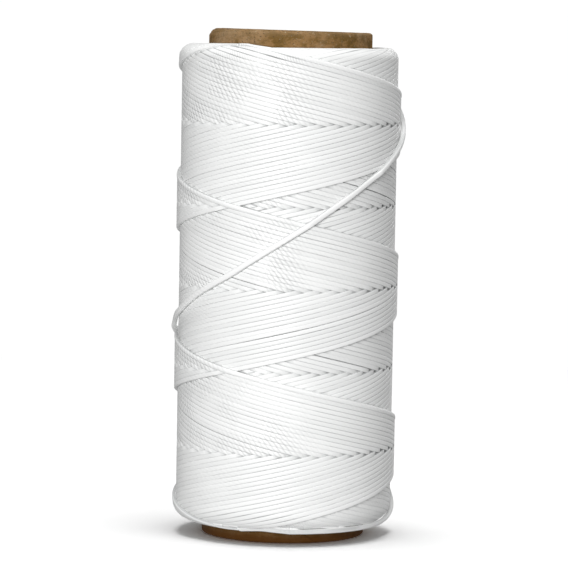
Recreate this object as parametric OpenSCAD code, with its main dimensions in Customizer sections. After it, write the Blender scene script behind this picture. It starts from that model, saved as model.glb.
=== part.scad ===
// Waxed thread spool: a plain paper tube with no flanges, cross-wound with one length of
// waxed thread. Millimetres, +Z up along the tube's axis, the bottom rim on z = 0.
// Angles along the thread are in degrees round +Z, with 0 on the -Y side.

/* [Paper tube] */
// Outside diameter of the paper tube
core_od = 37.4; // [20:0.1:80]
// Overall length of the paper tube
core_length = 116; // [60:0.5:240]
// Thickness of the ply that lines the bore
liner_ply = 0.4; // [0.2:0.05:1]
// Thickness of each of the three body plies
body_ply = 0.7; // [0.4:0.05:1.5]
// Thickness of the smooth ply on the outside
outer_ply = 0.3; // [0.2:0.05:1]
// Glue film between one ply and the next
glue_film = 0.05; // [0.02:0.01:0.1]

/* [Winding] */
// Depth of thread wound on the tube, under the last two passes
winding_depth = 5.6; // [5.2:0.1:30]
// Bare tube left below the winding
bare_bottom = 2.8; // [1:0.1:15]
// Bare tube left above the winding
bare_top = 3.2; // [1:0.1:15]
// Radius of the winding's lower shoulder
shoulder_bottom = 4.5; // [1:0.1:5]
// Radius of the winding's upper shoulder
shoulder_top = 2.5; // [1:0.1:4]
// Turns round the tube in one pass from end to end
turns_per_pass = 3; // [1:0.25:6]
// Angle that each new pair of passes moves on round the tube
advance = 10; // [4:0.5:30]

/* [Thread] */
// Width of a strand where it is pressed flat on the winding
thread_w = 1; // [0.5:0.05:1.5]
// Thickness of a strand where it is pressed flat on the winding
thread_t = 0.8; // [0.3:0.05:1.2]
// Clearance between a strand and what it lies on
seat_gap = 0.1; // [0.05:0.05:0.3]
// Diameter of the loose running end, which is not pressed flat
running_d = 1.1; // [0.6:0.05:1.4]
// Length of the starting end, laid along the tube under the winding
start_length = 40; // [10:1:50]
// Clearance round the starting end
start_gap = 0.1; // [0.05:0.05:0.3]

/* [Hidden] */
$fn = 96;

kraft = [0.52, 0.37, 0.22];
wax_white = [0.93, 0.93, 0.92];

// Tube radii, from the outside inwards
core_r = core_od / 2;
ply_step = body_ply + glue_film;
body_outer_r = core_r - outer_ply - glue_film;
liner_outer_r = body_outer_r - 3 * ply_step;
bore_r = liner_outer_r - liner_ply;

// Winding envelope
wind_z0 = bare_bottom;
wind_z1 = core_length - bare_top;
wind_r = core_r + winding_depth;
layer_r = core_r + winding_depth / 2;

// Angle of the last turn at the lower shoulder, and the passes counted back from it
end_angle = 334;
pass_angle = 360 * turns_per_pass + advance / 2;
fall_start = end_angle - pass_angle;
rise_start = fall_start - pass_angle;
// The turns stop part of the way round each shoulder
turn_bottom = wind_z0 + shoulder_bottom - shoulder_bottom * 40 * PI / 180;
turn_top = wind_z1 - shoulder_top + shoulder_top * 30 * PI / 180;
// Half the angle over which a pass rounds off at a turn
turn_soft = 14;
pitch = (turn_top - turn_bottom) / (pass_angle - turn_soft) * 360;

// Rings along each pass and along the running end, and the chord depth between two of them
pass_rings = 80;
running_rings = 80;
pass_sag = wind_r * (1 - cos(pass_angle / pass_rings / 2));
running_sag = wind_r * (1 - cos(600 / running_rings / 2));

// Running end, after the last turn at the bottom: [angle, share]. A share of 0 is the last
// turn, 1 is the upper end face's rim, and 2 is against the tube on that face.
running_route = [[334, 0], [360, 0.002], [400, 0.004], [430, 0.008], [445, 0.016],
                 [455, 0.03], [470, 0.06], [540, 0.215], [630, 0.406], [650, 0.435],
                 [690, 0.515], [740, 0.645], [780, 0.745], [810, 0.814], [850, 0.905],
                 [870, 0.945], [906, 1], [930, 2]];
top_rim = wind_z1 - shoulder_top + shoulder_top * PI / 2;
end_face = winding_depth - shoulder_top - seat_gap - running_d / 2;

// A point on the winding: c runs along the surface, and equals z on the straight part.
// Gives [radius, z, outward radius part, outward z part] at off from the surface.
function skin(c, off) =
    let(zt = wind_z1 - shoulder_top, zb = wind_z0 + shoulder_bottom)
    c > zt ?
        let(a = (c - zt) / shoulder_top * 180 / PI)
        a <= 90 ?
            [wind_r - shoulder_top + (shoulder_top + off) * cos(a),
             zt + (shoulder_top + off) * sin(a), cos(a), sin(a)] :
            [wind_r - shoulder_top - (a - 90) / 180 * PI * shoulder_top,
             wind_z1 + off, 0, 1] :
    c < zb ?
        let(a = (zb - c) / shoulder_bottom * 180 / PI)
        [wind_r - shoulder_bottom + (shoulder_bottom + off) * cos(a),
         zb - (shoulder_bottom + off) * sin(a), cos(a), -sin(a)] :
    [wind_r + off, c, 1, 0];

// Height along a pass, from 0 at its start to the full climb at its end, soft at both turns
function climb(t) =
    let(s = turn_soft, k = (turn_top - turn_bottom) / (pass_angle - s))
    t < s ? k * t * t / (2 * s) :
    t > pass_angle - s ?
        turn_top - turn_bottom - k * (pass_angle - t) * (pass_angle - t) / (2 * s) :
    k * (t - s / 2);

function rise_c(angle) = turn_bottom + climb(angle - rise_start);
function fall_c(angle) = turn_top - climb(angle - fall_start);
function running_c(angle) =
    let(s = lookup(angle, running_route))
    s <= 1 ? turn_bottom + (top_rim - turn_bottom) * s : top_rim + end_face * (s - 1);

// How far a strand lifts to pass over another whose middle is d away
function over(d, t) =
    let(flat = thread_w * 2, far = thread_w * 6)
    t * (d < flat ? 1 : d > far ? 0 : (1 + cos(180 * (d - flat) / (far - flat))) / 2);
// Distance to the last rising pass, or the last falling pass, on earlier turns
function arc(angle) = angle * PI / 180 * wind_r;
function near_rise(angle, c) =
    min([for (k = [1:14])
        let(q = angle - 360 * k, e = max(rise_start, min(fall_start, q)))
        norm([arc(q - e), c - rise_c(e)])]);
function near_fall(angle, c) =
    min([for (k = [1:14])
        let(q = angle - 360 * k, e = max(fall_start, min(end_angle, q)))
        norm([arc(q - e), c - fall_c(e)])]);

lift = thread_t + seat_gap + pass_sag;
function fall_lift(angle, c) = over(near_rise(angle, c), lift);
function running_lift(angle, c) =
    over(near_rise(angle, c), lift) + over(near_fall(angle, c), lift);

function unit(v) = v / norm(v);
function place(angle, q) = [q[0] * sin(angle), -q[0] * cos(angle), q[1]];
function outward(angle, q) = [q[2] * sin(angle), -q[2] * cos(angle), q[3]];

// Sweeps an oval section along a strand; seats = [[angle, surface point], ...]
module strand(seats, w, t) {
    n = len(seats);
    sides = 8;
    p = [for (s = seats) place(s[0], s[1])];
    ring = [for (i = [0:n - 1])
        let(a = seats[i][0],
            along = i == 0 || i == n - 1 ? [cos(a), sin(a), 0] : unit(p[i + 1] - p[i - 1]),
            out = outward(a, seats[i][1]),
            side = unit(cross(along, out)),
            up = cross(side, along))
        for (k = [0:sides - 1])
            p[i] + side * w / 2 * cos(360 * (k + 0.5) / sides) / cos(180 / sides)
                 + up * t / 2 * sin(360 * (k + 0.5) / sides) / cos(180 / sides)];
    polyhedron(
        points = ring,
        faces = concat(
            [for (i = [0:n - 2], k = [0:sides - 1])
                let(a = i * sides + k, b = i * sides + (k + 1) % sides)
                [a, a + sides, b]],
            [for (i = [0:n - 2], k = [0:sides - 1])
                let(a = i * sides + k, b = i * sides + (k + 1) % sides)
                [b, a + sides, b + sides]],
            [[for (k = [0:sides - 1]) k]],
            [[for (k = [sides - 1:-1:0]) (n - 1) * sides + k]]));
}

module ply(outer, thick) {
    color(kraft)
    difference() {
        cylinder(r = outer, h = core_length);
        translate([0, 0, -1]) cylinder(r = outer - thick, h = core_length + 2);
    }
}

module core_liner_ply() { ply(liner_outer_r, liner_ply); }
module core_body_ply_1() { ply(body_outer_r - 2 * ply_step, body_ply); }
module core_body_ply_2() { ply(body_outer_r - ply_step, body_ply); }
module core_body_ply_3() { ply(body_outer_r, body_ply); }
module core_outer_ply() { ply(core_r, outer_ply); }

// The whole wound body with its two rounded shoulders, before it is split into layers
module wound_body() {
    rotate_extrude()
    union() {
        translate([core_r - 1, wind_z0])
            square([winding_depth + 1 - shoulder_bottom, wind_z1 - wind_z0 - shoulder_top]);
        translate([core_r - 1, wind_z0 + shoulder_bottom])
            square([winding_depth + 1, wind_z1 - wind_z0 - shoulder_bottom - shoulder_top]);
        translate([core_r - 1, wind_z1 - shoulder_top - 0.5])
            square([winding_depth + 1 - shoulder_top, shoulder_top + 0.5]);
        translate([wind_r - shoulder_bottom, wind_z0 + shoulder_bottom])
            circle(shoulder_bottom);
        translate([wind_r - shoulder_top, wind_z1 - shoulder_top])
            circle(shoulder_top);
    }
}

// Room for the starting end, open towards the tube
module start_groove() {
    r = thread_t / 2 + start_gap;
    x = core_r + seat_gap + thread_t / 2;
    z = wind_z0 + 10 - start_gap;
    h = start_length + 2 * start_gap;
    translate([x, 0, z]) cylinder(r = r, h = h);
    translate([core_r - 1, -r, z]) cube([x - core_r + 1, 2 * r, h]);
}

module thread_starting_end() {
    color(wax_white)
    translate([core_r + seat_gap + thread_t / 2, 0, wind_z0 + 10])
        cylinder(r = thread_t / 2, h = start_length);
}

module thread_inner_layers() {
    color(wax_white)
    difference() {
        intersection() {
            wound_body();
            cylinder(r = layer_r, h = core_length);
        }
        translate([0, 0, -1]) cylinder(r = core_r + glue_film, h = core_length + 2);
        start_groove();
    }
}

module thread_outer_layers() {
    color(wax_white)
    difference() {
        wound_body();
        translate([0, 0, -1]) cylinder(r = layer_r + glue_film, h = core_length + 2);
    }
}

module thread_last_rising_pass() {
    color(wax_white)
    strand([for (i = [0:pass_rings])
        let(a = rise_start + pass_angle * i / pass_rings)
        [a, skin(rise_c(a), seat_gap + pass_sag + thread_t / 2)]], thread_w, thread_t);
}

module thread_last_falling_pass() {
    color(wax_white)
    strand([for (i = [0:pass_rings])
        let(a = fall_start + pass_angle * i / pass_rings, c = fall_c(a))
        [a, skin(c, seat_gap + pass_sag + thread_t / 2 + fall_lift(a, c))]],
        thread_w, thread_t);
}

module thread_running_end() {
    a0 = running_route[0][0] + 0.5;
    a1 = running_route[len(running_route) - 1][0];
    color(wax_white)
    strand([for (i = [0:running_rings])
        let(a = a0 + (a1 - a0) * i / running_rings, c = running_c(a))
        [a, skin(c, seat_gap + running_sag + running_d / 2 + running_lift(a, c))]],
        running_d, running_d);
}

core_liner_ply();
core_body_ply_1();
core_body_ply_2();
core_body_ply_3();
core_outer_ply();
thread_starting_end();
thread_inner_layers();
thread_outer_layers();
thread_last_rising_pass();
thread_last_falling_pass();
thread_running_end();
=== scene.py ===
"""A spool of white waxed thread, cross-wound on a plain paper tube.

The thread is laid strand by strand on a height map of the package, under tension, so that each
pass rides over what it crosses and bridges the steps between old passes and new ones.
Sizes in the code are millimetres; meshes are in metres.
"""

import math

import bmesh
import bpy
import numpy as np
from mathutils import Matrix, Vector


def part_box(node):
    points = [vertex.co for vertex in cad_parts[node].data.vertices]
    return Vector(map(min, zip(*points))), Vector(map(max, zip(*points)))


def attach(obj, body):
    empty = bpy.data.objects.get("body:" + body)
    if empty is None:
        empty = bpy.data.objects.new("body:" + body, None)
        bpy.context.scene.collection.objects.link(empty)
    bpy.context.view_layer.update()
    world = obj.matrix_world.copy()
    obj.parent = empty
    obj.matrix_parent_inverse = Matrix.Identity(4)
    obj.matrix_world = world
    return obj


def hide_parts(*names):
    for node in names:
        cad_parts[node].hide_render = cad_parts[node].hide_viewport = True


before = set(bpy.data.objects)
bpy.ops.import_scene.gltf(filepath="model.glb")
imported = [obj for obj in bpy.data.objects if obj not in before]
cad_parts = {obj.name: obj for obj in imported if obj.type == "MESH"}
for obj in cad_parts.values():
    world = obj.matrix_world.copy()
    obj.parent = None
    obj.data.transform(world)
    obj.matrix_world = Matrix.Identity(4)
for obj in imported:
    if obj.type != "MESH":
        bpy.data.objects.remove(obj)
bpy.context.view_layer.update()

bl_info = {
    "name": "Waxed thread spool",
    "version": (1, 0, 0),
    "blender": (4, 5, 0),
    "location": "View3D > Sidebar > Spool",
    "description": "Builds a cross-wound spool of waxed thread on a paper tube",
    "category": "Object",
}

MM = 0.001


def box_mm(node):
    """A CAD node's lowest and highest corners, in millimetres."""
    low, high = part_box(node)
    return [v / MM for v in low], [v / MM for v in high]


TUBE_LOW, TUBE_HIGH = box_mm("core_outer_ply")
WOUND_LOW, WOUND_HIGH = box_mm("thread_inner_layers")
TUBE_R = TUBE_HIGH[0]
BORE_R = box_mm("core_liner_ply")[1][0] - 0.4
WOUND_R = box_mm("thread_outer_layers")[1][0]

# The surface that the outer strands are laid on: its radius, how far inside the winding's box
# its ends lie, its shoulders, and how far below it heights are counted
LAID = {"radius": WOUND_R - 1.75, "in_low": 0.9, "in_high": 1.0,
        "round_low": 3.6, "round_high": 2.4, "depth": 2.0}
# How far round each shoulder the passes turn, in degrees
TURN_ROUND_LOW, TURN_ROUND_HIGH = 76, 80

# The section of the last falling pass, which nothing presses flat
LAST_PASS = {"width": 1.16, "thick": 1.0, "sides": 16, "corner": 0.42}

# The two layers of turns that show on the end faces: how far the first is from the tube and
# the next from it, and how far their shoulders and their turns are inside the winding's box
INNER_GAP, INNER_STEP, INNER_ROUND = 0.1, 1.62, 0.5
INNER_IN, INNER_TURNS_IN = (0.6, 1.3), (1.5, 2.2)

GLUE_FILM = 0.06      # gap that shows between two plies
PLY_CRACK = 0.12      # how far a ply's corners fall back from the rim
ALL_POINTS_WITHIN = 4.0     # strands keep every point this near a turn, then every other

# The plies of the tube from the bore outwards: CAD node, outer radius
PLIES = [(n, box_mm(n)[1][0]) for n in (
    "core_liner_ply", "core_body_ply_1", "core_body_ply_2", "core_body_ply_3",
    "core_outer_ply")]

# The running end: angle round the tube from the -Y side, and place along the winding. A place
# of 0 is the last turn at the bottom, 1 the rim of the upper end face, 2 against the tube on it.
# Between the shoulders, places 0 and 1 are these heights.
RUNNING_SPAN = (4.16, 114.24)
RUNNING_ROUTE = [
    (334, 0), (360, 0.002), (400, 0.004), (430, 0.008), (445, 0.016), (455, 0.03),
    (470, 0.06), (540, 0.215), (630, 0.406), (650, 0.435), (690, 0.515), (740, 0.645),
    (780, 0.745), (810, 0.814), (850, 0.905), (870, 0.945), (906, 1), (930, 2)]


# The lights: name, place and aim in millimetres, size, watts, whether it lights the floor too,
# and whether the wax reflects it
LIGHTS = (
    ("light_above", (0, 0, 1600), (0, 0, 0), 900, 17, True, True),
    ("light_front", (-205, -1025, 205), (0, 0, 60), 400, 9.55, False, True),
    ("light_right", (1000, -150, 250), (0, 0, 60), 500, 0.35, False, False),
    ("light_back", (520, 900, 300), (0, 0, 60), 500, 8.0, False, False))

# Brightness of the floor as the camera sees it and as it lights the object, and of the
# surroundings as they light the object and as the camera sees them
FLOOR_SEEN, FLOOR_THROWN = 1.36, 0.35
AROUND_THROWN, AROUND_SEEN = 0.19, 1.02


# ---------------------------------------------------------------- sizes and colours


def length(name, description, default, low=0.0, high=1000.0):
    """A length property, in millimetres."""
    return bpy.props.FloatProperty(
        name=name, description=description, default=default, min=low, max=high,
        precision=2)


def colour(name, description, default):
    """A colour property."""
    return bpy.props.FloatVectorProperty(
        name=name, description=description, default=default, size=3, min=0.0, max=1.0,
        subtype="COLOR")


class SpoolTube(bpy.types.PropertyGroup):
    """Sizes of the paper tube."""

    rim_round: length("Rim rounding", "Wear on the outer edge of both rims, in mm", 0.9)
    rim_wobble: length("Rim unevenness", "How far the rims stray from flat, in mm", 0.12)
    rim_slant: length("Rim slant", "How much lower the top rim is on one side, in mm", 0.65)
    seam_pitch: length("Seam pitch", "Rise of a ply's spiral seam in one turn, in mm", 74.0)


class SpoolThread(bpy.types.PropertyGroup):
    """Sizes of the thread and of the way it is wound."""

    width: length("Strand width", "Width of a strand pressed flat, in mm", 1.03)
    thickness: length("Strand thickness", "Thickness of a strand pressed flat, in mm", 0.8)
    running_width: length("Running end", "Width of the loose running end, in mm", 1.32)
    turns: bpy.props.FloatProperty(
        name="Turns per pass", description="Turns round the tube from end to end",
        default=3.0, min=0.5, max=12.0)
    advance: bpy.props.FloatProperty(
        name="Advance", description="Angle that each pair of passes moves on, in degrees",
        default=10.0, min=2.0, max=60.0)
    last_turn: bpy.props.FloatProperty(
        name="Last turn", description="Angle of the last turn at the bottom, in degrees",
        default=334.0)
    pairs: bpy.props.IntProperty(
        name="Pairs of passes", description="Pairs of passes laid on the surface",
        default=38, min=1, max=80)
    lay_length: length("Ply spacing", "Distance between the plies along a strand, in mm", 1.25)


class SpoolColours(bpy.types.PropertyGroup):
    """Colours of the spool."""

    wax_white: colour("Waxed thread", "Colour of the waxed thread", (0.89, 0.895, 0.89))
    # The grey of the painted shade in the grooves between strands
    groove_shade: colour("Grooves", "Colour low between strands", (0.47, 0.48, 0.48))
    kraft: colour("Kraft paper", "Main colour of the tube", (0.262, 0.149, 0.057))
    kraft_dark: colour("Kraft, dark", "Darker mottling of the tube", (0.15, 0.083, 0.02))
    kraft_pale: colour("Kraft, pale", "Worn and dusty patches", (0.36, 0.25, 0.145))


class SpoolStage(bpy.types.PropertyGroup):
    """The camera."""

    distance: length("Camera distance", "From the axis to the camera, in mm", 757.0, 0, 5000)
    height: length("Camera height", "Height of the camera, in mm", 116.0)
    aim: length("Aim height", "Height that the camera looks at, in mm", 57.4)
    sideways: length("Aim to the side", "Camera and aim to the left, in mm", 0.6, -50)
    lens: length("Focal length", "Focal length on a 36 mm sensor, in mm", 209.0)
    roll: bpy.props.FloatProperty(
        name="Roll", description="Turn of the camera about its view, in degrees", default=1.0)


# ---------------------------------------------------------------- laying the thread


class Package:
    """The surface that strands are laid on: a cylinder with two rounded shoulders.

    A place on it is an angle and a distance c along the surface, which equals the height on the
    straight part. How high the thread lies is kept on a grid of angle by c, and is counted from
    a level that is some depth below the surface.
    """

    STEP = 2.0
    ROW = 0.1

    def __init__(self, radius, low, high, round_low, round_high, inner, depth):
        self.radius, self.inner, self.depth = radius, inner, depth
        self.low, self.high = low + round_low, high - round_high
        self.round_low, self.round_high = round_low, round_high
        self.rim_low = self.low - round_low * math.pi / 2
        self.rim_high = self.high + round_high * math.pi / 2
        self.c_start = self.rim_low - (radius - round_low - inner)
        self.c_end = self.rim_high + (radius - round_high - inner)
        self.columns = int(round(360 / self.STEP))
        self.rows = int((self.c_end - self.c_start) / self.ROW) + 2
        self.height = np.zeros((self.columns, self.rows))

    def point(self, c, h):
        """Radius, height and outward tilt in radians of places at h above the level."""
        h = h - self.depth
        up = np.clip((c - self.high) / self.round_high, 0, math.pi / 2)
        down = np.clip((self.low - c) / self.round_low, 0, math.pi / 2)
        past = np.maximum(c - self.rim_high, 0) + np.maximum(self.rim_low - c, 0)
        r = (self.radius - self.round_high * (1 - np.cos(up))
             - self.round_low * (1 - np.cos(down)) + h * np.cos(up + down) - past)
        z = (np.clip(c, self.low, self.high) + (self.round_high + h) * np.sin(up)
             - (self.round_low + h) * np.sin(down))
        return r, z, up - down

    def cells(self, angle, c):
        col = np.floor(angle / self.STEP + 1e-6).astype(int) % self.columns
        row = np.floor((c - self.c_start) / self.ROW + 0.5).astype(int)
        row = np.clip(row, 0, self.rows - 1)
        return col, row

    def under(self, grid, angle, c, reach):
        """What a grid holds under the middle of a strand, row by row."""
        col, row = self.cells(angle, c)
        rows = np.clip(row[:, None] + np.arange(-reach, reach + 1), 0, self.rows - 1)
        return grid[col[:, None], rows]

    def taut(self, along, held):
        """The height of a string pulled tight over the supports."""
        lifted = held - along ** 2 / (2 * self.radius)
        hull = []
        for i in range(len(along)):
            while len(hull) > 1:
                a, b = hull[-2], hull[-1]
                rise = (lifted[b] - lifted[a]) * (along[i] - along[a])
                if rise > (lifted[i] - lifted[a]) * (along[b] - along[a]):
                    break
                hull.pop()
            hull.append(i)
        tight = np.interp(along, along[hull], lifted[hull])
        return tight + along ** 2 / (2 * self.radius)

    def cover(self, grid, angle, c, width, height, keep):
        """Writes a strand's height over its whole width; keep is np.maximum or np.minimum."""
        col, row = self.cells(angle, c)
        reach = int(round(width / 2 / self.ROW))
        for k in range(-reach, reach + 1):
            keep.at(grid, (col, np.clip(row + k, 0, self.rows - 1)), height)

    def settle(self, lines, width, thick):
        """Presses each strand down as far as the strands over it need.

        A strand with nothing over it stays straight across the steps below it. Each line
        then also holds how far it is covered at each point, from 0 to 1.
        """
        ceiling = np.full_like(self.height, 1e3)
        for line in reversed(lines):
            angle, c = line["angle"], line["c"]
            room = self.under(ceiling, angle, c, 3).min(axis=1) - thick
            line["h"] = np.maximum(line["pressed"], np.minimum(line["straight"], room))
            self.cover(ceiling, angle, c, width, line["h"], np.minimum)
        fade = np.linspace(0.5, 0, 8)
        for line, after in zip(lines, lines[1:]):
            step = after["h"][0] - line["h"][-1]
            line["h"][-len(fade):] += step * fade[::-1]
            after["h"][:len(fade)] -= step * fade
        for line in lines:
            self.cover(self.height, line["angle"], line["c"], width, line["h"] + thick,
                       np.maximum)
        for line in lines:
            over = self.under(self.height, line["angle"], line["c"], 1).min(axis=1)
            line["covered"] = np.clip((over - line["h"] - thick) / 0.4, 0, 1)


def beside_turn(edge, reach):
    """1 at a turn, fading to 0 past a reach from it."""
    return np.exp(-(edge / reach) ** 2)


class Winder:
    """Lays pairs of passes on a package and keeps the line of each one."""

    SOFT = 14.0         # angle that a pass takes to turn back, in degrees
    # How far from a turn, in millimetres, the steps between passes are pressed lower, the
    # newest pass keeps its edge, strands crowd, and a turn's own stray reaches
    PRESSED, WHOLE, CROWDED, STRAY = 2.5, 1.5, 0.9, 1.5

    def __init__(self, package, thread, turn_low, turn_high, seed):
        self.package = package
        self.width, self.thick = thread.width, thread.thickness
        self.pass_angle = 360 * thread.turns + thread.advance / 2
        self.advance, self.last_turn, self.pairs = thread.advance, thread.last_turn, thread.pairs
        self.turn_low, self.turn_high = turn_low, turn_high
        self.pitch = (turn_high - turn_low) / (self.pass_angle - self.SOFT) * 360
        self.chance = np.random.default_rng(seed)
        self.lines = []

    def climb(self, turned):
        """Share of a pass's height at an angle from its start, soft at both turns."""
        s, k = self.SOFT, 1 / (self.pass_angle - self.SOFT)
        left = self.pass_angle - turned
        return np.where(turned < s, k * turned ** 2 / (2 * s),
                        np.where(left < s, 1 - k * left ** 2 / (2 * s), k * (turned - s / 2)))

    def start_of(self, pair):
        """Angle at which a pair's rising pass starts."""
        behind = self.pairs - 1 - pair
        return self.last_turn - behind * self.advance - 2 * self.pass_angle

    def layers(self, pairs, rising, angle, c, edge):
        """Height of all the passes that go one way, when so many pairs are laid.

        Each turn of the newest one is the edge of a step, and behind it the layers fall away
        evenly to the edge's next turn. Near the turns the steps are pressed lower.
        """
        half = self.pitch * self.advance / 720
        start = self.start_of(pairs)
        if rising:
            newest = self.turn_low + self.pitch * (angle - start - self.SOFT / 2) / 360 + half
            behind = c - newest
        else:
            start += self.pass_angle
            newest = self.turn_high - self.pitch * (angle - start - self.SOFT / 2) / 360 - half
            behind = newest - c
        margin = 0.6 * beside_turn(edge, self.WHOLE)
        behind = np.maximum(np.mod(behind + margin, self.pitch) - margin, 0) / self.pitch
        step = 1 - 0.6 * beside_turn(edge, self.PRESSED)
        return self.thick * (0.5 + (0.5 - behind) * step) + self.built_up(pairs, edge)

    def built_up(self, pairs, edge):
        """Thickness of the passes that go one way, pressed more even near the turns."""
        middle = self.pairs * self.advance / 720
        pressed = 1 - 0.5 * beside_turn(edge, self.PRESSED)
        return self.thick * (middle + (pairs * self.advance / 360 - middle) * pressed)

    def crowding(self, turned, edge):
        """Extra height at the turns, where each strand lies over the ones before it."""
        from_turn = np.where(turned < self.pass_angle / 2, turned, turned - self.pass_angle)
        over = np.clip((self.SOFT * 1.3 - from_turn) / self.advance, 0, 3.2)
        return self.thick * self.squeeze * over * beside_turn(edge, self.CROWDED)

    def wind(self, squeeze, end_play, slant=0.0):
        """Lays every pass.

        squeeze is how thick strands stay where they crowd at the turns, end_play how far the
        turns stray, and slant how much lower the upper turns lie at +X than at -X.
        """
        p, play = self.package, self.chance
        self.squeeze = squeeze
        near, far = 0.0, 0.0
        for pair in range(self.pairs):
            angle = self.start_of(pair)
            for rising in (True, False):
                turned = np.append(np.arange(0, self.pass_angle, p.STEP), self.pass_angle)
                share = self.climb(turned)
                near, far = far, play.uniform(-end_play, end_play)
                if rising:
                    far -= slant / 2 * math.sin(math.radians(angle + self.pass_angle))
                elif pair == self.pairs - 1:
                    far = 0.0
                at_low, at_high = (near, far) if rising else (far, near)
                span = self.turn_high - self.turn_low
                c = self.turn_low + span * (share if rising else 1 - share)
                c = (c + at_low * np.exp(-(c - self.turn_low) / self.STRAY)
                     + at_high * np.exp(-(self.turn_high - c) / self.STRAY))
                waves = sum(play.uniform(0.003, 0.014) * np.sin(
                    np.radians(turned) * f + play.uniform(0, 6.28)) for f in (1.3, 2.9, 7.1))
                # One pass in five is slack and leaves a narrow gap beside it
                slack = play.uniform(0.08, 0.2) if play.random() < 0.2 else 0.0
                here = play.uniform(0, 6.28)
                waves += slack * np.clip(np.sin(np.radians(turned) * 0.8 + here), 0, 1)
                c = c + (waves + play.normal(0, 0.01)) * np.sin(share * math.pi)
                edge = np.maximum(np.minimum(c - self.turn_low, self.turn_high - c), 0)
                line = dict(pair=pair, rising=rising, angle=angle + turned, c=c, edge=edge)
                own = self.built_up(pair, edge) + self.crowding(turned, edge)
                other = [self.layers(
                    pair + (not rising), not rising, line["angle"], c + side, edge)
                    for side in (-0.3, 0, 0.3)]
                line["pressed"] = own + other[1]
                along = np.radians(turned) * p.radius
                line["straight"] = p.taut(along, own + np.max(other, axis=0))
                self.lines.append(line)
                angle += self.pass_angle
        p.settle(self.lines, self.width, self.thick)
        return self


WOUND = {}


def outer_winding():
    """The passes that show on the outside. They are laid once and kept."""
    if "outer" not in WOUND:
        thread = bpy.context.scene.spool_thread
        package = Package(
            LAID["radius"] + LAID["depth"], WOUND_LOW[2] + LAID["in_low"],
            WOUND_HIGH[2] - LAID["in_high"], LAID["round_low"], LAID["round_high"],
            TUBE_R, LAID["depth"])
        turn_low = package.low - package.round_low * math.radians(TURN_ROUND_LOW)
        turn_high = package.high + package.round_high * math.radians(TURN_ROUND_HIGH)
        winder = Winder(package, thread, turn_low, turn_high, seed=5)
        WOUND["outer"] = winder.wind(squeeze=0.06, end_play=0.2, slant=0.3)
    return WOUND["outer"]


def running_line():
    """Ring centres and places of the running end, laid over everything else."""
    if "running" not in WOUND:
        thread = bpy.context.scene.spool_thread
        winder = outer_winding()
        p = winder.package
        d = thread.running_width
        angle = np.arange(RUNNING_ROUTE[0][0] + 0.3, RUNNING_ROUTE[-1][0] + 0.1, 1.0)
        place = np.interp(angle, *zip(*RUNNING_ROUTE))
        kernel = np.hanning(13) / np.hanning(13).sum()
        place = np.convolve(np.pad(place, 6, mode="edge"), kernel, mode="valid")
        bottom, top = RUNNING_SPAN
        c = bottom + (top - bottom) * np.minimum(place, 1)
        c = (c + (winder.turn_low - bottom) * np.exp(-((c - bottom) / 6) ** 2)
             + (p.rim_high - top) * np.exp(-((c - top) / 6) ** 2))
        inward = p.radius - p.round_high - p.inner - d / 2 - 0.1
        c = c + inward * np.maximum(place - 1, 0)
        along = np.concatenate(([0], np.cumsum(np.hypot(
            np.diff(c), np.radians(np.diff(angle)) * p.radius))))
        on_face = p.depth * np.clip((c - p.rim_high) / 1.0 + 1, 0, 1)
        h = p.taut(along, np.maximum(p.under(p.height, angle, c, 4).max(axis=1), on_face))
        h = h + d / 2
        start = winder.lines[-1]["h"][-1] + winder.thick / 2 + 0.1
        h += (start - h[0]) * np.clip(1 - (angle - angle[0]) / 30, 0, 1)
        WOUND["running"] = (angle, c, h)
    return WOUND["running"]


def in_space(package, angle, c, h):
    """Points in metres and the tilt of each, for a line on a package."""
    r, z, tilt = package.point(c, h)
    turn = np.radians(angle)
    points = np.stack([r * np.sin(turn), -r * np.cos(turn), z], axis=1) * MM
    return points, tilt


# ---------------------------------------------------------------- making meshes


def link(obj):
    """Puts a new object in the scene."""
    bpy.context.scene.collection.objects.link(obj)
    return obj


def flat_section(width, thick, sides, corner):
    """A closed curve for a strand's section: thick along x, wide along y, rounded corners.

    A corner as large as half the width makes it round.
    """
    curve = bpy.data.curves.new("section", "CURVE")
    curve.dimensions = "2D"
    spline = curve.splines.new("POLY")
    spline.points.add(sides - 1)
    spline.use_cyclic_u = True
    half_step = math.pi / sides
    spread = 1.0 if corner >= width / 2 else (math.pi / 2) / (math.pi / 2 - 2 * half_step)
    for k, point in enumerate(spline.points):
        a = -2 * half_step * (k + 0.5)
        middle = (math.floor(a / (math.pi / 2)) + 0.5) * math.pi / 2
        turned = middle + (a - middle) * spread
        x = math.copysign(thick / 2 - corner, math.cos(middle)) + corner * math.cos(turned)
        y = math.copysign(width / 2 - corner, math.sin(middle)) + corner * math.sin(turned)
        point.co = (x * MM, y * MM, 0, 1)
    return link(bpy.data.objects.new("section", curve))


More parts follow.
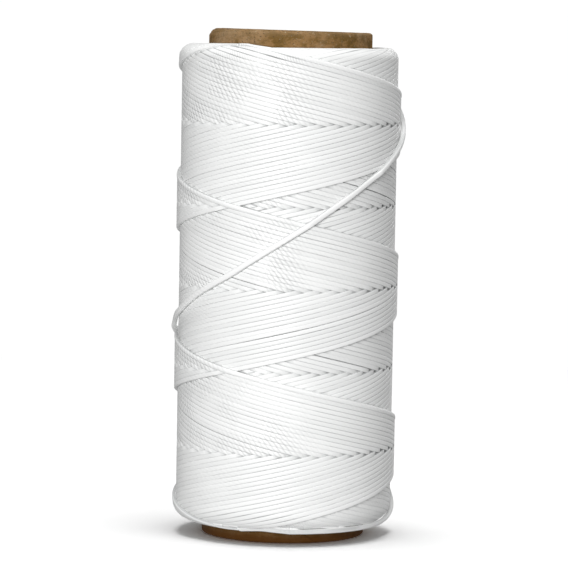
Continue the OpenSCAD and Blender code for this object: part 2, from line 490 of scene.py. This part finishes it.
def strands(name, lines, width, thick, sides=16, corner=0.18):
    """One mesh of swept strands. lines holds dicts of points, tilt, tone and relief."""
    section = flat_section(width, thick, sides, corner)
    curve = bpy.data.curves.new(name, "CURVE")
    curve.dimensions = "3D"
    curve.twist_mode = "Z_UP"
    curve.bevel_mode = "OBJECT"
    curve.bevel_object = section
    curve.use_fill_caps = True
    for line in lines:
        spline = curve.splines.new("POLY")
        count = len(line["points"])
        spline.points.add(count - 1)
        spline.points.foreach_set(
            "co", np.hstack([line["points"], np.ones((count, 1))]).ravel())
        spline.points.foreach_set("tilt", -line["tilt"])
    holder = link(bpy.data.objects.new(name + "_line", curve))
    bpy.context.view_layer.update()
    graph = bpy.context.evaluated_depsgraph_get()
    mesh = bpy.data.meshes.new_from_object(holder.evaluated_get(graph))
    mesh.name = name
    section_points = [p.co.copy() for p in section.data.splines[0].points]
    for done in (holder, section):
        data = done.data
        bpy.data.objects.remove(done)
        bpy.data.curves.remove(data)
    across = [co[1] * 2 / (width * MM) for co in section_points]
    dress_strands(mesh, lines, sides, across)
    piece = link(bpy.data.objects.new(name, mesh))
    mesh.polygons.foreach_set("use_smooth", np.ones(len(mesh.polygons), dtype=bool))
    return piece


def dress_strands(mesh, lines, sides, across):
    """Gives each strand its length in its UV map, and its look as attributes.

    They are its tone, a random tint with painted shade where other strands cover it, its relief
    and the place across it, from -1 to 1.
    """
    uv = np.empty(len(mesh.loops) * 2, dtype=np.float32)
    mesh.uv_layers[0].data.foreach_get("uv", uv)
    uv = uv.reshape(-1, 2)
    corner = np.empty(len(mesh.loops), dtype=np.int32)
    mesh.loops.foreach_get("vertex_index", corner)
    # The caps' own points come first, two caps to a strand, and then the rings
    caps = 2 * sides * len(lines)
    strand_of = [np.repeat(np.arange(len(lines)), 2 * sides)]
    tone_and_shade, relief = [np.zeros(caps)], [np.zeros(caps)]
    lengths, ends = [], list(range(caps))
    count = caps
    for i, line in enumerate(lines):
        strand_of.append(np.full(len(line["points"]) * sides, i))
        tone_and_shade.append(np.repeat(line["tone_and_shade"], sides))
        relief.append(np.repeat(line["relief"], sides))
        steps = np.linalg.norm(np.diff(line["points"], axis=0), axis=1)
        lengths.append(steps.sum() / MM)
        ends += range(count, count + sides)
        count += len(line["points"]) * sides
        ends += range(count - sides, count)
    tone_and_shade, relief = np.concatenate(tone_and_shade), np.concatenate(relief)
    strand_of = np.concatenate(strand_of)
    if len(mesh.vertices) != count:
        raise RuntimeError(f"{mesh.name} has {len(mesh.vertices)} points, not {count}")
    u = uv[:, 0] * np.array(lengths)[strand_of[corner]]
    uv[:, 0] = u + 37.0 * strand_of[corner]
    mesh.uv_layers[0].data.foreach_set("uv", uv.ravel())
    rings = (count - caps) // sides
    place = np.concatenate([np.zeros(caps), np.tile(across, rings)])
    for label, values in (("tone_and_shade", tone_and_shade), ("relief", relief), ("across", place)):
        mesh.attributes.new(label, "FLOAT", "POINT").data.foreach_set(
            "value", values.astype(np.float32))
    bm = bmesh.new()
    bm.from_mesh(mesh)
    bm.verts.ensure_lookup_table()
    bmesh.ops.remove_doubles(bm, verts=[bm.verts[k] for k in ends], dist=1e-7)
    bm.to_mesh(mesh)
    bm.free()


def lathe(name, profile, steps=144):
    """A closed ring turned round the axis from a closed profile of (radius, height) in mm."""
    bm = bmesh.new()
    ring = [bm.verts.new((0, -r * MM, z * MM)) for r, z in profile]
    edges = [bm.edges.new((a, b)) for a, b in zip(ring, ring[1:] + ring[:1])]
    bmesh.ops.spin(bm, geom=ring + edges, cent=(0, 0, 0), axis=(0, 0, 1),
                   angle=math.tau, steps=steps, use_merge=True)
    bmesh.ops.remove_doubles(bm, verts=bm.verts, dist=1e-7)
    bmesh.ops.recalc_face_normals(bm, faces=bm.faces)
    mesh = bpy.data.meshes.new(name)
    bm.to_mesh(mesh)
    bm.free()
    mesh.polygons.foreach_set("use_smooth", np.ones(len(mesh.polygons), dtype=bool))
    return link(bpy.data.objects.new(name, mesh))


# ---------------------------------------------------------------- materials


class Num:
    """A number in a material: Python's operators on it add Math nodes."""

    def __init__(self, finish, socket):
        self.finish, self.socket = finish, socket

    def math(self, operation, *others):
        values = [o.socket if isinstance(o, Num) else o for o in (self, *others)]
        node = self.finish.node("ShaderNodeMath", {"operation": operation},
                                dict(enumerate(values)))
        return Num(self.finish, node.outputs[0])

    def __add__(self, other):
        return self.math("ADD", other)

    __radd__ = __add__

    def __mul__(self, other):
        return self.math("MULTIPLY", other)

    __rmul__ = __mul__

    def __sub__(self, other):
        return self.math("SUBTRACT", other)

    def __rsub__(self, other):
        return (self * -1) + other

    def __truediv__(self, other):
        return self.math("DIVIDE", other)

    def __pow__(self, other):
        return self.math("POWER", other)

    def sine(self):
        return self.math("SINE")

    def size(self):
        return self.math("ABSOLUTE")

    def part(self):
        return self.math("FRACT")

    def clamp(self):
        node = self.finish.node("ShaderNodeClamp", {}, {"Value": self.socket})
        return Num(self.finish, node.outputs[0])

    def ramp(self, low, high, to_low=0.0, to_high=1.0):
        node = self.finish.node(
            "ShaderNodeMapRange", {"interpolation_type": "SMOOTHSTEP"},
            {"Value": self.socket, "From Min": low, "From Max": high,
             "To Min": to_low, "To Max": to_high})
        return Num(self.finish, node.outputs[0])


class Finish:
    """A material under construction."""

    def __init__(self, name):
        self.material = bpy.data.materials.new(name)
        self.material.use_nodes = True
        self.tree = self.material.node_tree
        self.shader = self.tree.nodes["Principled BSDF"]

    def node(self, kind, settings=None, inputs=None):
        """Adds a node, with its settings first and then the values or links of its sockets."""
        node = self.tree.nodes.new(kind)
        for key, value in (settings or {}).items():
            setattr(node, key, value)
        for key, value in (inputs or {}).items():
            if isinstance(value, Num):
                value = value.socket
            if isinstance(value, bpy.types.NodeSocket):
                self.tree.links.new(value, node.inputs[key])
            else:
                node.inputs[key].default_value = value
        return node

    def coordinate(self, output="Object"):
        return self.node("ShaderNodeTexCoord").outputs[output]

    def split(self, vector):
        node = self.node("ShaderNodeSeparateXYZ", {}, {0: vector})
        return [Num(self, s) for s in node.outputs]

    def attribute(self, name):
        return Num(self, self.node(
            "ShaderNodeAttribute", {"attribute_name": name}).outputs["Fac"])

    def noise(self, scale, detail=3.0, rough=0.55, vector=None, stretch=None):
        vector = vector or self.coordinate()
        if stretch:
            vector = self.node("ShaderNodeMapping", {}, {
                "Vector": vector, "Scale": stretch}).outputs[0]
        return Num(self, self.node("ShaderNodeTexNoise", {}, {
            "Vector": vector, "Scale": scale, "Detail": detail,
            "Roughness": rough}).outputs["Fac"])

    def mix(self, factor, a, b):
        """A colour between two colours."""
        a = (*a, 1) if isinstance(a, tuple) and len(a) == 3 else a
        b = (*b, 1) if isinstance(b, tuple) and len(b) == 3 else b
        node = self.node("ShaderNodeMix", {"data_type": "RGBA"}, {
            0: factor, 6: a, 7: b})
        return node.outputs[2]

    def bump(self, height, distance, strength=1.0, below=None):
        """A normal from a height between 0 and 1, with distance in millimetres."""
        inputs = {"Height": height, "Distance": distance * MM, "Strength": strength}
        if below:
            inputs["Normal"] = below
        return self.node("ShaderNodeBump", {}, inputs).outputs[0]

    def finish(self, colour, roughness, normal=None, **fixed):
        for key, value in (("Base Color", colour), ("Roughness", roughness),
                           ("Normal", normal)):
            if value is None:
                continue
            if isinstance(value, Num):
                value = value.socket
            if isinstance(value, bpy.types.NodeSocket):
                self.tree.links.new(value, self.shader.inputs[key])
            else:
                self.shader.inputs[key].default_value = value
        for key, value in fixed.items():
            self.shader.inputs[key.replace("_", " ")].default_value = value
        return self.material


def waxed_thread():
    """White twisted thread, pressed flat and filled with wax."""
    sizes, tints = bpy.context.scene.spool_thread, bpy.context.scene.spool_colours
    f = Finish("waxed_thread")
    u, _, _ = f.split(f.node("ShaderNodeUVMap").outputs[0])
    x, _, _ = f.split(f.coordinate())
    tone_and_shade, relief = f.attribute("tone_and_shade"), f.attribute("relief")
    across = f.attribute("across")
    # Plies cross the strand at a slant; they show where wax has not filled them, and the valleys
    # between them get painted shade
    plies = ((u / sizes.lay_length + across * 0.45) * math.pi).sine().size() ** 0.6
    # Plies show more towards -X, the side the front light comes from, so their painted shade is
    # stronger there
    filled = f.noise(70, 2).ramp(0.40, 0.64) * x.ramp(-2 * MM, 9 * MM, 1.0, 0.12)
    fuzz = f.noise(2600, 2, 0.6)
    strong = relief * (0.12 + filled * 0.88)
    height = plies * strong
    # Painted shade greys the grooves between strands; wax hides that shade in patches, most of
    # all on the rising passes and there towards -X
    rising = relief.ramp(0.35, 0.6, 1.0, 0.0)
    smooth = (f.noise(55, 2).ramp(0.50, 0.64, 0.0, 0.7)
              + rising * x.ramp(-22 * MM, -4 * MM, 0.8, 0.0)).clamp()
    # Painted shade: grey at each strand's edges for the shade in the grooves, grey in the ply
    # valleys, and the tone's painted shade where other strands cover the strand
    side = across.size().ramp(0.74, 1.0) * (1 - smooth)
    shade = (side * 0.72 + (1 - plies) * strong * 0.42 + tone_and_shade * 0.35).clamp()
    tint = f.mix(shade, tuple(tints.wax_white), tuple(tints.groove_shade))
    normal = f.bump(height, 0.14)
    normal = f.bump(fuzz, 0.012, 1.0, normal)
    gloss = f.noise(420, 3).ramp(0.3, 0.7, 0.34, 0.48)
    return f.finish(tint, gloss, normal, Sheen_Weight=0.05, IOR=1.45)


def kraft_paper(name, worn, seam_turn):
    """Spirally wound brown paper. worn is 1 on the outside of the tube, 0 inside."""
    tints, tube = bpy.context.scene.spool_colours, bpy.context.scene.spool_tube
    f = Finish(name)
    x, y, z = f.split(f.coordinate())
    blotch = f.noise(360, 4, 0.65, stretch=(1, 1, 1.6))
    cloud = f.noise(120, 3, 0.5)
    dark_speck = f.noise(3000, 2, 0.6).ramp(0.58, 0.70)
    pale_speck = f.noise(1700, 2, 0.6).ramp(0.60, 0.72)
    fibre = f.noise(700, 4, 0.65, stretch=(1, 1, 3.5))
    turn = y.math("ARCTAN2", x) / math.tau + seam_turn
    pitch = tube.seam_pitch * MM
    across = ((z / pitch + turn).part() - 0.5).size() * pitch / MM
    seam = across.ramp(0.1, 0.28, 1.0, 0.0)
    rim = z.ramp((TUBE_HIGH[2] - 2.4) * MM, TUBE_HIGH[2] * MM)
    tint = f.mix(blotch.ramp(0.40, 0.60), tuple(tints.kraft), tuple(tints.kraft_dark))
    tint = f.mix(cloud.ramp(0.45, 0.70, 0.0, 0.5), tint, tuple(tints.kraft_pale))
    tint = f.mix(fibre.ramp(0.52, 0.75, 0.0, 0.45), tint, tuple(tints.kraft_dark))
    tint = f.mix(rim * (0.18 + blotch * 0.3) * worn, tint, tuple(tints.kraft_pale))
    tint = f.mix(pale_speck * (0.25 + rim * 0.5) * worn, tint, (0.45, 0.39, 0.28, 1))
    tint = f.mix(dark_speck * 0.75, tint, (0.055, 0.035, 0.02, 1))
    tint = f.mix(seam * 0.75, tint, (0.05, 0.028, 0.012, 1))
    # Painted shade: the paper turns almost black-brown towards the bottom rim, which lies in
    # shade under the winding
    painted_bottom_shade = z.ramp(0.8 * MM, 4.4 * MM, 0.94, 0.0)
    tint = f.mix(painted_bottom_shade, tint, (0.06, 0.019, 0.0, 1))
    height = fibre * 0.6 + dark_speck * -0.35 + pale_speck * 0.2 + (1 - seam) * 0.5
    return f.finish(tint, fibre.ramp(0.2, 0.8, 0.68, 0.9), f.bump(height, 0.12),
                    Specular_IOR_Level=0.15)


def inner_thread():
    """The thread below the passes that show."""
    width, tints = bpy.context.scene.spool_thread.width, bpy.context.scene.spool_colours
    f = Finish("inner_thread")
    _, _, z = f.split(f.coordinate())
    # Painted shade: grey stripes between the rows of thread, matched by a bump, stand for the
    # shade in the grooves between turns
    rows = (z * (math.tau / (width * MM))).sine() * 0.5 + 0.5
    tint = f.mix(rows, tuple(tints.groove_shade), tuple(tints.wax_white))
    return f.finish(tint, 0.5, f.bump(rows, 0.2))


def floor_white():
    """The white floor. It throws an even, weaker light on the object than it shows."""
    f = Finish("floor_white")
    shown = f.node("ShaderNodeBsdfDiffuse", {}, {"Color": (FLOOR_SEEN,) * 3 + (1,)})
    thrown = f.node("ShaderNodeEmission", {}, {"Strength": FLOOR_THROWN})
    seen = f.node("ShaderNodeLightPath").outputs["Is Camera Ray"]
    both = f.node("ShaderNodeMixShader", {}, {
        0: seen, 1: thrown.outputs[0], 2: shown.outputs[0]})
    f.tree.links.new(both.outputs[0], f.tree.nodes["Material Output"].inputs[0])
    return f.material


MADE = {}


def material(maker, *args):
    """A material that pieces share, made when it is first wanted."""
    key = (maker.__name__, *args)
    if key not in MADE:
        MADE[key] = maker(*args)
    return MADE[key]


def dress(piece, mat, slot, *nodes):
    """Gives a piece its material and its place in the model."""
    piece.data.materials.clear()
    piece.data.materials.append(mat)
    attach(piece, "root")
    if nodes:
        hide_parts(*nodes)
    return piece


# ---------------------------------------------------------------- operators


class SPOOL_OT_camera(bpy.types.Operator):
    """Add the camera, level with the top of the spool and looking slightly down"""

    bl_idname = "spool.camera"
    bl_label = "Camera"

    def execute(self, context):
        s = context.scene.spool_stage
        data = bpy.data.cameras.new("camera")
        data.lens, data.sensor_width = s.lens, 36.0
        data.clip_start, data.clip_end = 0.01, 50.0
        camera = link(bpy.data.objects.new("camera", data))
        place = Vector((-s.sideways, -s.distance, s.height)) * MM
        target = Vector((-s.sideways, 0, s.aim)) * MM
        look = (target - place).to_track_quat("-Z", "Y").to_matrix().to_4x4()
        roll = Matrix.Rotation(math.radians(s.roll), 4, "Z")
        camera.matrix_world = Matrix.Translation(place) @ look @ roll
        context.scene.camera = camera
        return {"FINISHED"}


class SPOOL_OT_running_end(bpy.types.Operator):
    """Add the running end of the thread, wound steeply up over the finished winding"""

    bl_idname = "spool.running_end"
    bl_label = "Running end"

    def execute(self, context):
        thread = context.scene.spool_thread
        d = thread.running_width
        angle, c, h = running_line()
        points, tilt = in_space(outer_winding().package, angle, c, h)
        line = dict(points=points, tilt=tilt, tone_and_shade=np.zeros(len(points)),
                    relief=np.full(len(points), 0.3))
        piece = strands("thread_running_end_look", [line], d, d * 0.8, 16, 0.42)
        dress(piece, material(waxed_thread), "thread", "thread_running_end")
        return {"FINISHED"}


class SPOOL_OT_paper_tube(bpy.types.Operator):
    """Add the paper tube, ply by ply"""

    bl_idname = "spool.paper_tube"
    bl_label = "Paper tube"

    def execute(self, context):
        tube = context.scene.spool_tube
        inner = BORE_R
        for i, (node, outer) in enumerate(PLIES):
            profile = self.profile(inner, outer, tube.rim_round)
            piece = lathe(node + "_look", profile, 240)
            self.wear(piece, tube.rim_wobble, tube.rim_slant, i)
            outside = i == len(PLIES) - 1
            mat = material(kraft_paper, "kraft_wrap" if outside else "kraft_ply",
                           1.0 if outside else 0.4, round(0.17 * i, 2))
            dress(piece, mat, "tube_wrap" if outside else "tube_body", node)
            inner = outer + GLUE_FILM
        return {"FINISHED"}

    def profile(self, inner, outer, rounding):
        """One ply in section: its rims follow the worn, rounded edge of the whole tube."""
        low, high = TUBE_LOW[2], TUBE_HIGH[2]

        def drop(r):
            depth = max(0.0, r - (TUBE_R - rounding)) / rounding
            inside = max(0.0, (BORE_R + 0.3) - r) / 0.3
            return (rounding * (1 - math.sqrt(max(0.0, 1 - depth ** 2)))
                    + 0.2 * (1 - math.sqrt(max(0.0, 1 - inside ** 2))))

        radii = [inner + (outer - inner) * k / 6 for k in range(7)]
        crack = [PLY_CRACK if k in (0, 6) else 0.0 for k in range(7)]
        top = [(r, high - drop(r) - e) for r, e in zip(radii, crack)]
        bottom = [(r, low + 0.6 * drop(r) + 0.5 * e) for r, e in zip(radii, crack)]
        mid = [low + (high - low) * k / 12 for k in range(1, 12)]
        return (top + [(outer, z) for z in reversed(mid)] + bottom[::-1]
                + [(inner, z) for z in mid])

    def wear(self, piece, wobble, cut, seed):
        """Lets the top rim stray a little, each ply its own way, and slopes the cut."""
        mesh = piece.data
        co = np.empty(len(mesh.vertices) * 3)
        mesh.vertices.foreach_get("co", co)
        co = co.reshape(-1, 3) / MM
        turn = np.arctan2(co[:, 1], co[:, 0])
        play = np.random.default_rng(40 + seed)
        stray = sum(play.uniform(0.2, 1.0) / f * np.sin(f * turn + play.uniform(0, 6.28))
                    for f in (2, 5, 9, 17, 31))
        near = np.clip((co[:, 2] - (TUBE_HIGH[2] - 2.0)) / 2.0, 0, 1)
        r = np.hypot(co[:, 0], co[:, 1])
        blunt = np.clip((r - (TUBE_R - 2.4)) / 2.4, 0, 1) ** 2.5
        dent = 1.5 * np.clip(-co[:, 0] / TUBE_R, 0, 1) ** 2 * blunt
        aslant = cut * (1 + co[:, 0] / TUBE_R) / 2
        co[:, 2] -= near * (wobble * np.abs(stray) + aslant + dent)
        mesh.vertices.foreach_set("co", (co * MM).ravel())
        mesh.update()


class SPOOL_OT_passes(bpy.types.Operator):
    """Add the passes of thread that show on the outside of the winding"""

    bl_idname = "spool.passes"
    bl_label = "Passes of thread"

    def execute(self, context):
        thread = context.scene.spool_thread
        winder = outer_winding()
        play = np.random.default_rng(11)
        groups = {}
        for line in winder.lines:
            pick = (line["edge"] < ALL_POINTS_WITHIN) | (np.arange(len(line["c"])) % 2 == 0)
            angle, c = line["angle"][pick], line["c"][pick]
            points, tilt = in_space(
                winder.package, angle, c, line["h"][pick] + winder.thick / 2)
            wave = np.sin(np.radians(angle) * play.uniform(0.5, 1.5) + play.uniform(0, 6))
            # Wax hides the plies of the rising passes more
            strong = 0.3 if line["rising"] else 1.0
            last = line["pair"] == winder.pairs - 1
            key = ("rising" if line["rising"] else "falling",
                   "last" if last else 1 + line["pair"] * 3 // winder.pairs)
            # Each strand's tone is a random tint plus painted shade where other strands cover it
            groups.setdefault(key, []).append(dict(
                points=points, tilt=tilt,
                tone_and_shade=np.clip(play.uniform(0, 0.35) + 0.1 * wave, 0, 1)
                + 1.6 * line["covered"][pick],
                relief=np.full(len(points), strong * play.uniform(0.7, 1.0))))
        for (way, batch), lines in groups.items():
            if (way, batch) == ("falling", "last"):
                piece = strands("thread_falling_last", lines, **LAST_PASS)
            else:
                piece = strands(f"thread_{way}_{batch}", lines, thread.width,
                                thread.thickness)
            node = f"thread_last_{way}_pass" if batch == "last" else "thread_outer_layers"
            dress(piece, material(waxed_thread), "thread", node)
        return {"FINISHED"}


class SPOOL_OT_inner_layers(bpy.types.Operator):
    """Add the layers below: their turns, which show on both end faces, and their body"""

    bl_idname = "spool.inner_layers"
    bl_label = "Inner layers"

    def execute(self, context):
        thread = context.scene.spool_thread
        z0, z1 = WOUND_LOW[2], WOUND_HIGH[2]
        package = outer_winding().package
        c = np.concatenate([
            np.linspace(package.rim_low - 0.6, package.low, 12),
            np.linspace(package.high, package.rim_high + 0.6, 12)])
        r, z, _ = package.point(c, 0.3)
        inner = TUBE_R + GLUE_FILM
        body = lathe("inner_layers_look", [
            (inner, z[-1]), *zip(r[::-1], z[::-1]), (inner, z[0])])
        dress(body, material(inner_thread), "thread", "thread_inner_layers")
        lines = {"top": [], "bottom": []}
        for level in range(2):
            radius = TUBE_R + INNER_GAP + INNER_STEP * level
            package = Package(radius, z0 + INNER_IN[0], z1 - INNER_IN[1],
                              INNER_ROUND, INNER_ROUND, TUBE_R - 2, 0)
            winder = Winder(package, thread, z0 + INNER_TURNS_IN[0],
                            z1 - INNER_TURNS_IN[1], seed=70 + level)
            winder.wind(squeeze=0.2, end_play=0.25, slant=0.3)
            self.keep_turns(winder, lines)
        for end, found in lines.items():
            piece = strands(f"inner_turns_{end}", found, thread.width, thread.thickness, 8)
            dress(piece, material(waxed_thread), "thread", "thread_inner_layers")
        return {"FINISHED"}

    def keep_turns(self, winder, lines):
        """Keeps what is near the ends of each pass."""
        for line in winder.lines[4:]:
            for end, kept in (("top", line["c"] > winder.turn_high - ALL_POINTS_WITHIN),
                              ("bottom", line["c"] < winder.turn_low + ALL_POINTS_WITHIN)):
                pick = np.flatnonzero(kept)
                points, tilt = in_space(
                    winder.package, line["angle"][pick], line["c"][pick],
                    line["h"][pick] + winder.thick / 2)
                lines[end].append(dict(points=points, tilt=tilt,
                                       tone_and_shade=np.full(len(pick), 0.3),
                                       relief=np.full(len(pick), 0.3)))


class SPOOL_OT_starting_end(bpy.types.Operator):
    """Give the starting end, which lies under the winding, its finish"""

    bl_idname = "spool.starting_end"
    bl_label = "Starting end"

    def execute(self, context):
        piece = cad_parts["thread_starting_end"]
        for s in piece.material_slots:
            s.material = material(inner_thread)
        return {"FINISHED"}


class SPOOL_OT_stage(bpy.types.Operator):
    """Add the floor and the soft lights"""

    bl_idname = "spool.stage"
    bl_label = "Floor and lights"

    def execute(self, context):
        bm = bmesh.new()
        bmesh.ops.create_circle(bm, cap_ends=True, segments=96, radius=0.4)
        mesh = bpy.data.meshes.new("floor")
        bm.to_mesh(mesh)
        bm.free()
        floor = link(bpy.data.objects.new("floor", mesh))
        mesh.materials.append(floor_white())
        not_floor = bpy.data.collections.new("not_lit_from_the_sides")
        not_floor.objects.link(floor)
        not_floor.collection_objects[0].light_linking.link_state = "EXCLUDE"
        for name, place, target, size, watts, on_floor, reflected in LIGHTS:
            light = self.soft_light(name, place, target, size, watts)
            light.visible_glossy = reflected
            if not on_floor:
                light.light_linking.receiver_collection = not_floor
        self.surroundings()
        context.scene.view_settings.view_transform = "Standard"
        return {"FINISHED"}

    def soft_light(self, name, place, target, size, watts):
        """A square area light at a place, turned to a target; both are in millimetres."""
        data = bpy.data.lights.new(name, "AREA")
        data.shape, data.size, data.energy = "SQUARE", size * MM, watts
        light = link(bpy.data.objects.new(name, data))
        light.location = Vector(place) * MM
        light.rotation_euler = (Vector(target) - Vector(place)).to_track_quat(
            "-Z", "Y").to_euler()
        return light

    def surroundings(self):
        """White behind the object, and dim round it, so that its sides keep their shade."""
        world = bpy.data.worlds.new("surroundings")
        bpy.context.scene.world = world
        world.use_nodes = True
        tree = world.node_tree
        dim = tree.nodes["Background"]
        dim.inputs["Color"].default_value = (1, 1, 1, 1)
        dim.inputs["Strength"].default_value = AROUND_THROWN
        white = tree.nodes.new("ShaderNodeBackground")
        white.inputs["Color"].default_value = (1, 1, 1, 1)
        white.inputs["Strength"].default_value = AROUND_SEEN
        seen = tree.nodes.new("ShaderNodeLightPath")
        both = tree.nodes.new("ShaderNodeMixShader")
        tree.links.new(seen.outputs["Is Camera Ray"], both.inputs[0])
        tree.links.new(dim.outputs[0], both.inputs[1])
        tree.links.new(white.outputs[0], both.inputs[2])
        tree.links.new(both.outputs[0], tree.nodes["World Output"].inputs[0])


OPERATORS = (SPOOL_OT_camera, SPOOL_OT_running_end, SPOOL_OT_paper_tube, SPOOL_OT_passes,
             SPOOL_OT_inner_layers, SPOOL_OT_starting_end, SPOOL_OT_stage)
GROUPS = {"spool_tube": SpoolTube, "spool_thread": SpoolThread,
          "spool_colours": SpoolColours, "spool_stage": SpoolStage}


class SPOOL_PT_panel(bpy.types.Panel):
    """The spool's sizes, colours and pieces"""

    bl_idname = "SPOOL_PT_panel"
    bl_label = "Waxed thread spool"
    bl_space_type = "VIEW_3D"
    bl_region_type = "UI"
    bl_category = "Spool"

    def draw(self, context):
        for key, group in GROUPS.items():
            box = self.layout.box()
            box.label(text=group.__doc__)
            for name in group.__annotations__:
                box.prop(getattr(context.scene, key), name)
        for operator in OPERATORS:
            self.layout.operator(operator.bl_idname)


def register():
    for cls in (*GROUPS.values(), *OPERATORS, SPOOL_PT_panel):
        bpy.utils.register_class(cls)
    for key, group in GROUPS.items():
        setattr(bpy.types.Scene, key, bpy.props.PointerProperty(type=group))


def unregister():
    for key in GROUPS:
        delattr(bpy.types.Scene, key)
    for cls in (SPOOL_PT_panel, *OPERATORS, *GROUPS.values()):
        bpy.utils.unregister_class(cls)


def main():
    register()
    for operator in OPERATORS:
        area, name = operator.bl_idname.split(".")
        getattr(getattr(bpy.ops, area), name)()


if __name__ == "__main__":
    main()
